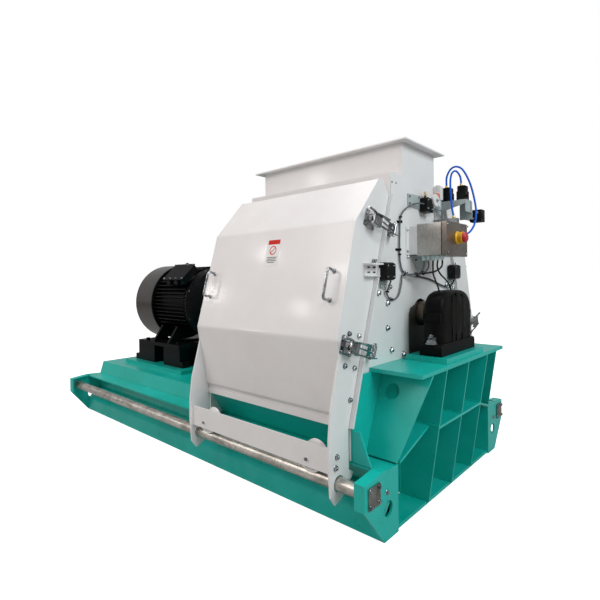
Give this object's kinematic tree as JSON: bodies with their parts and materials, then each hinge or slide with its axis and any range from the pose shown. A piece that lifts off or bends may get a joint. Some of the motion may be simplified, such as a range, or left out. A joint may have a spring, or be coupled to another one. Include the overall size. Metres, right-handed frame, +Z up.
{
  "type": "hammer mill",
  "caption": "Hammer mill with a top inlet, sliding service doors on guide tubes, a swinging-hammer rotor and a foot-mounted motor on one welded base.",
  "frame": {"origin": "centre of the base at floor level, in the middle of the anchor bolt pattern", "axes": "+X along the shaft towards the control end, +Y across towards the rear door, +Z up"},
  "size_m": [3.3891, 1.81, 2],
  "materials": {
    "teal_paint": "gloss enamel",
    "white_paint": "gloss enamel",
    "tube_steel": "drawn tube, satin, mottled",
    "plate_steel": "rolled steel, satin",
    "bright_steel": "bright plated",
    "dark_paint": "satin",
    "black_cast": "matt black paint over casting",
    "motor_paint": "semi-gloss black paint over casting",
    "cowl_paint": "gloss blue-black",
    "copper_winding": "varnished winding",
    "black_plastic": "moulded",
    "stainless": "brushed stainless",
    "grey_plastic": "moulded",
    "white_plastic": "moulded",
    "blue_hose": "extruded tube",
    "cable_sheath": "matt sheath",
    "red_plastic": "moulded",
    "orange_plastic": "moulded"
  },
  "bodies": {
    "base": {"base_side_rails": "teal_paint", "base_webs": "teal_paint", "base_cross_plates": "teal_paint", "motor_platform": "teal_paint", "end_frame": "teal_paint", "bearing_support_plates": "teal_paint", "tube_brackets": "teal_paint", "tube_end_caps": "plate_steel", "guide_tubes": "tube_steel", "casing_end_walls": "white_paint", "casing_frames": "white_paint", "inlet_chute": "white_paint", "shaft_slot_covers": "dark_paint", "screens": "plate_steel", "screen_frames": "plate_steel", "bearing_housings": "black_cast", "motor_frame": "motor_paint", "motor_fan_cowl": "cowl_paint", "motor_terminal_box": "motor_paint", "motor_support_blocks": "motor_paint", "motor_stator": "copper_winding", "coupling_guard": "teal_paint", "door_lock_cylinder": "black_plastic", "control_box": "stainless", "cable_glands": "grey_plastic", "limit_switches": "black_plastic", "air_valves": "black_plastic", "air_regulator": "white_plastic", "air_hoses": "blue_hose", "control_cables": "cable_sheath", "clamp_bases": "bright_steel", "casing_bolts": "bright_steel"},
    "rotor": {"rotor_shaft": "plate_steel", "rotor_discs": "plate_steel", "hammer_pins": "bright_steel", "coupling_mill_half": "plate_steel"},
    "motor_armature": {"motor_rotor": "plate_steel", "motor_fan": "black_plastic", "coupling_motor_half": "plate_steel"},
    "hammer_row_top": {"hammers_top": "plate_steel"},
    "hammer_row_front": {"hammers_front": "plate_steel"},
    "hammer_row_bottom": {"hammers_bottom": "plate_steel"},
    "hammer_row_rear": {"hammers_rear": "plate_steel"},
    "flap": {"inlet_flap": "white_paint"},
    "estop": {"estop_button": "red_plastic"},
    "pressure_knob": {"regulator_knob": "orange_plastic"},
    "front_door": {"front_door_frame": "white_paint", "front_door_panel": "white_paint", "front_door_handles": "bright_steel"},
    "rear_door": {"rear_door_frame": "white_paint", "rear_door_panel": "white_paint", "rear_door_handles": "bright_steel"},
    "front_roller_a": {"front_roller_motor_end": "white_paint"},
    "front_roller_b": {"front_roller_control_end": "white_paint"},
    "rear_roller_a": {"rear_roller_motor_end": "white_paint"},
    "rear_roller_b": {"rear_roller_control_end": "white_paint"},
    "clamp_front_upper": {"clamp_lever_front_upper": "bright_steel"},
    "clamp_front_lower": {"clamp_lever_front_lower": "bright_steel"},
    "clamp_rear_upper": {"clamp_lever_rear_upper": "bright_steel"},
    "clamp_rear_lower": {"clamp_lever_rear_lower": "bright_steel"}
  },
  "joints": [
    {"name": "front_door_slide", "type": "slide", "parent": "base", "child": "front_door", "axis": [-1, 0, 0], "range_m": [0, 1.15]},
    {"name": "rear_door_slide", "type": "slide", "parent": "base", "child": "rear_door", "axis": [-1, 0, 0], "range_m": [0, 1.15]},
    {"name": "rotor_spin", "type": "hinge", "parent": "base", "child": "rotor", "pos_m": [0.8775, 0, 0.996], "axis": [1, 0, 0], "continuous": true},
    {"name": "motor_spin", "type": "hinge", "parent": "base", "child": "motor_armature", "pos_m": [-0.8, 0, 0.996], "axis": [1, 0, 0], "continuous": true},
    {"name": "hammer_swing_top", "type": "hinge", "parent": "rotor", "child": "hammer_row_top", "pos_m": [0.8775, 0, 1.296], "axis": [1, 0, 0], "continuous": true},
    {"name": "hammer_swing_front", "type": "hinge", "parent": "rotor", "child": "hammer_row_front", "pos_m": [0.8775, -0.3, 0.996], "axis": [1, 0, 0], "continuous": true},
    {"name": "hammer_swing_bottom", "type": "hinge", "parent": "rotor", "child": "hammer_row_bottom", "pos_m": [0.8775, 0, 0.696], "axis": [1, 0, 0], "continuous": true},
    {"name": "hammer_swing_rear", "type": "hinge", "parent": "rotor", "child": "hammer_row_rear", "pos_m": [0.8775, 0.3, 0.996], "axis": [1, 0, 0], "continuous": true},
    {"name": "flap_turn", "type": "hinge", "parent": "base", "child": "flap", "pos_m": [0.8775, 0, 1.69], "axis": [-1, 0, 0], "range_deg": [0, 100]},
    {"name": "estop_press", "type": "slide", "parent": "base", "child": "estop", "axis": [-1, 0, 0], "range_m": [0, 0.006]},
    {"name": "knob_turn", "type": "hinge", "parent": "base", "child": "pressure_knob", "pos_m": [1.48, 0.174, 1.73], "axis": [0, -1, 0], "range_deg": [0, 270]},
    {"name": "front_roller_a_spin", "type": "hinge", "parent": "front_door", "child": "front_roller_a", "pos_m": [0.453, -0.832, 0.3434], "axis": [0, -1, 0], "range_deg": [-5, 1105]},
    {"name": "front_roller_b_spin", "type": "hinge", "parent": "front_door", "child": "front_roller_b", "pos_m": [1.288, -0.832, 0.3434], "axis": [0, -1, 0], "range_deg": [-5, 1105]},
    {"name": "rear_roller_a_spin", "type": "hinge", "parent": "rear_door", "child": "rear_roller_a", "pos_m": [0.453, 0.832, 0.3434], "axis": [0, -1, 0], "range_deg": [-5, 1105]},
    {"name": "rear_roller_b_spin", "type": "hinge", "parent": "rear_door", "child": "rear_roller_b", "pos_m": [1.288, 0.832, 0.3434], "axis": [0, -1, 0], "range_deg": [-5, 1105]},
    {"name": "clamp_front_upper_swing", "type": "hinge", "parent": "base", "child": "clamp_front_upper", "pos_m": [1.486, -0.36595, 1.4752], "axis": [0, 0.3218, 0.9468], "range_deg": [0, 100]},
    {"name": "clamp_front_lower_swing", "type": "hinge", "parent": "base", "child": "clamp_front_lower", "pos_m": [1.486, -0.58281, 0.84418], "axis": [0, 0.344, 0.939], "range_deg": [0, 100]},
    {"name": "clamp_rear_upper_swing", "type": "hinge", "parent": "base", "child": "clamp_rear_upper", "pos_m": [1.486, 0.36595, 1.4752], "axis": [0, 0.3218, -0.9468], "range_deg": [0, 100]},
    {"name": "clamp_rear_lower_swing", "type": "hinge", "parent": "base", "child": "clamp_rear_lower", "pos_m": [1.486, 0.58281, 0.84418], "axis": [0, 0.344, -0.939], "range_deg": [0, 100]}
  ],
  "couplings": [
    {"joint": "motor_spin", "follows": "rotor_spin", "ratio": 1},
    {"joint": "front_roller_a_spin", "follows": "front_door_slide", "rad_per_m": 16.667},
    {"joint": "front_roller_b_spin", "follows": "front_door_slide", "rad_per_m": 16.667},
    {"joint": "rear_roller_a_spin", "follows": "rear_door_slide", "rad_per_m": 16.667},
    {"joint": "rear_roller_b_spin", "follows": "rear_door_slide", "rad_per_m": 16.667}
  ]
}
